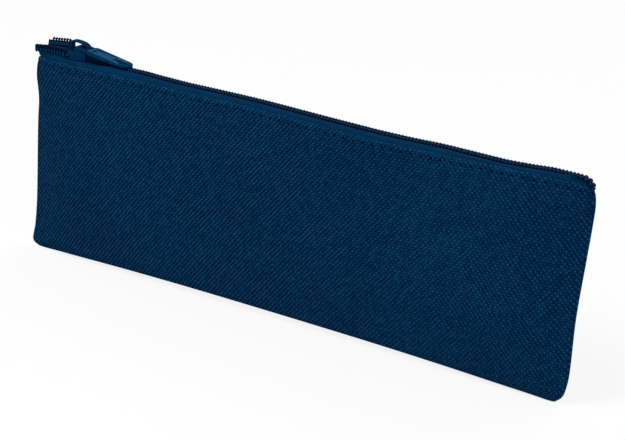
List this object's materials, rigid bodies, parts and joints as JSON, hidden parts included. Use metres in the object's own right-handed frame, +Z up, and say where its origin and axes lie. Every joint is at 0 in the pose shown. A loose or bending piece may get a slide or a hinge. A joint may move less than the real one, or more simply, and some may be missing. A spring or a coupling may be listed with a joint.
{
  "type": "zip pencil case",
  "caption": "Flat upright cloth pencil pouch with a coil zip along its top, a slider and a pull tab.",
  "frame": {"origin": "middle of the footprint, at the underside of the bottom fold", "axes": "+X along the zip from the open end to the closed end, front wall towards -Y, +Z up from the bottom fold to the zip"},
  "size_m": [0.22, 0.014, 0.0833],
  "materials": {
    "body_cloth": "navy coarse oxford weave with a backing inside",
    "zip_tape": "navy fine woven tape, smooth",
    "zip_coil": "navy nylon, satin",
    "zip_thread": "navy thread",
    "sewing_thread": "navy sewing thread",
    "slider_lacquer": "navy lacquer, satin gloss",
    "tab_lacquer": "navy lacquer, satin gloss",
    "spring_steel": "bright spring steel"
  },
  "bodies": {
    "pouch": {"rear_panel": "body_cloth", "rear_zip_tape": "zip_tape", "rear_coil": "zip_coil", "rear_coil_cord": "zip_thread", "rear_coil_stitches": "zip_thread", "rear_topstitch": "sewing_thread", "left_side_seam": "sewing_thread", "right_side_seam": "sewing_thread", "left_seam_overlock": "sewing_thread", "right_seam_overlock": "sewing_thread"},
    "front": {"front_panel": "body_cloth", "front_zip_tape": "zip_tape", "front_coil": "zip_coil", "front_coil_cord": "zip_thread", "front_coil_stitches": "zip_thread", "front_topstitch": "sewing_thread"},
    "slider": {"slider_body": "slider_lacquer", "slider_crown": "slider_lacquer", "lock_spring": "spring_steel"},
    "tab": {"pull_tab": "tab_lacquer"}
  },
  "joints": [
    {"name": "slider_travel", "type": "slide", "parent": "pouch", "child": "slider", "axis": [1, 0, -0.0087], "range_m": [-0.006, 0.18], "deforming": ["front_zip_tape", "rear_zip_tape", "front_coil", "rear_coil", "front_coil_cord", "rear_coil_cord", "front_coil_stitches", "rear_coil_stitches"]},
    {"name": "mouth", "type": "hinge", "parent": "pouch", "child": "front", "pos_m": [0, -0.0032, 0.0009], "axis": [1, 0, 0], "range_deg": [-0.67, 20], "deforming": ["left_seam_overlock", "right_seam_overlock"]},
    {"name": "tab_flip", "type": "hinge", "parent": "slider", "child": "tab", "pos_m": [-0.092, 0, 0.0809], "axis": [0, -1, 0], "range_deg": [0, 155]}
  ],
  "couplings": [
    {"joint": "mouth", "follows": "slider_travel", "rad_per_m": 1.9392}
  ]
}
